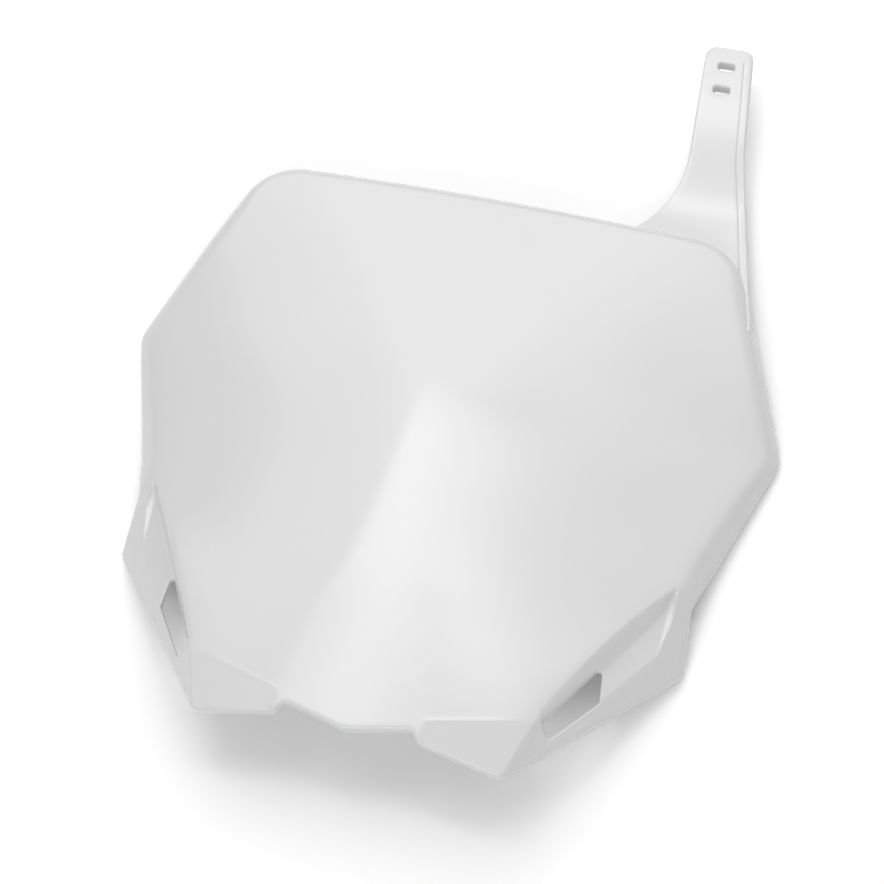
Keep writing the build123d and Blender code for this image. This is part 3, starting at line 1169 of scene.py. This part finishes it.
def whitePlastic():
    plastic, wire, shader = newMaterial("whitePlastic")
    shader.inputs["IOR"].default_value = finish["ior"]
    place = wire.node("ShaderNodeTexCoord", {}, "Object")

    def noise(scale, detail):
        settings = {"noise_dimensions": "3D"}
        return wire.node("ShaderNodeTexNoise", settings, 0, Vector=place, Scale=scale, Detail=detail)

    patches = noise(finish["shineScale"], finish["shineDetail"])
    uneven = finish["unevenShine"] * (patches - finish["noiseMiddle"])
    (finish["roughness"] + uneven).feed(shader, "Roughness")
    pale, dull = finish["paleColour"], finish["dullColour"]
    mixed = wire.node("ShaderNodeMix", {"data_type": "RGBA"}, 2, _0=patches, _6=pale, _7=dull)
    mixed.feed(shader, "Base Color")
    grain = noise(finish["grainScale"], finish["grainDetail"])
    strength, depth = finish["grainStrength"], finish["grainDepth"]
    bumps = wire.node("ShaderNodeBump", {}, "Normal", Strength=strength, Distance=depth, Height=grain)
    bumps.feed(shader, "Normal")
    return plastic


plateObject.data.materials.append(whitePlastic())
print("white plastic on the plate")

# Camera, fitted to the photograph
cameraSettings = {
    "eye": (161.41, -272.62, 815.44),
    "right": (0.9633, 0.2413, -0.1173),
    "down": (0.1928, -0.9266, -0.3229),
    "focalPixels": 2400.0,
    "photoPixels": 884.0,
    "sensor": 36.0,
    "clipEnd": 20.0,
}
right = Vector(cameraSettings["right"]).normalized()
downward = Vector(cameraSettings["down"])
downward = (downward - right * downward.dot(right)).normalized()
back = right.cross(-downward)
cameraData = bpy.data.cameras.new("camera")
cameraData.sensor_width = cameraSettings["sensor"]
cameraData.lens = cameraSettings["focalPixels"] / cameraSettings["photoPixels"] * cameraSettings["sensor"]
cameraData.clip_end = cameraSettings["clipEnd"]
camera = bpy.data.objects.new("camera", cameraData)
standing = Matrix.Translation(Vector(cameraSettings["eye"]) / mmPerMetre)
camera.matrix_world = standing @ Matrix((right, -downward, back)).transposed().to_4x4()
bpy.context.collection.objects.link(camera)
scene = bpy.context.scene
scene.camera = camera

# Floor: white paper that keeps the shadow, paler where it is seen than in the light it throws back
paperFloor = {"half": 3.0, "tone": 0.9, "seenExtra": 0.28}
floorCorners = [
    (x * paperFloor["half"], y * paperFloor["half"], 0) for x, y in ((-1, -1), (1, -1), (1, 1), (-1, 1))
]
floorMesh = bpy.data.meshes.new("floor")
floorMesh.from_pydata(floorCorners, [], [(0, 1, 2, 3)])
floor = bpy.data.objects.new("floor", floorMesh)
bpy.context.collection.objects.link(floor)
floorMaterial, floorWire, floorShader = newMaterial("floorWhite")
floorNodes = floorMaterial.node_tree.nodes
floorNodes.remove(floorShader)
seenBy = ("Is Camera Ray", "Is Glossy Ray", "Is Transmission Ray")
seen = sum(floorWire.node("ShaderNodeLightPath", {}, kind) for kind in seenBy)
tone = paperFloor["tone"] + paperFloor["seenExtra"] * seen
paper = floorWire.node("ShaderNodeBsdfDiffuse", {}, "BSDF", Color=tone)
paper.feed(floorNodes["Material Output"], "Surface")
floorMesh.materials.append(floorMaterial)
print("camera and floor done")

# Light: softboxes round the plate, in metres, and an even white world
studio = {"distance": 1.2, "worldStrength": 0.26}


def softbox(name, direction, across, along, radiance, turn=0.0):
    # A rectangle that faces the plate; its power comes from the radiance that it shows
    data = bpy.data.lights.new(name, "AREA")
    data.shape = "RECTANGLE"
    data.size = across
    data.size_y = along
    data.energy = radiance * math.pi * across * along
    light = bpy.data.objects.new(name, data)
    toward = Vector(direction).normalized()
    light.location = toward * studio["distance"]
    facing = (-toward).to_track_quat("-Z", "Y")
    light.rotation_euler = (facing @ Quaternion((0, 0, 1), math.radians(turn))).to_euler()
    bpy.context.collection.objects.link(light)


softbox("overheadBox", (-0.007, 0.264, 0.964), across=0.675, along=0.17, radiance=5.5, turn=-8.0)
softbox("noseBox", (-0.215, 0.105, 0.971), across=0.29, along=0.225, radiance=4.0)
softbox("backBox", (-0.25, 0.65, 0.75), across=1.50, along=0.92, radiance=1.1)
softbox("backMiddleBox", (-0.15, 0.66, 0.75), across=0.75, along=0.80, radiance=0.9)
softbox("sideBox", (0.464, 0.40, 0.79), across=0.45, along=0.60, radiance=0.9)
softbox("rightBox", (0.75, 0.15, 0.64), across=0.48, along=0.60, radiance=1.1)
softbox("frontBox", (-0.03, -0.83, 0.55), across=0.90, along=0.50, radiance=3.2)

world = bpy.data.worlds.new("studio")
scene.world = world
world.use_nodes = True
background = world.node_tree.nodes["Background"]
background.inputs["Color"].default_value = (1, 1, 1, 1)
background.inputs["Strength"].default_value = studio["worldStrength"]
scene.view_settings.view_transform = "Standard"
print("light done")
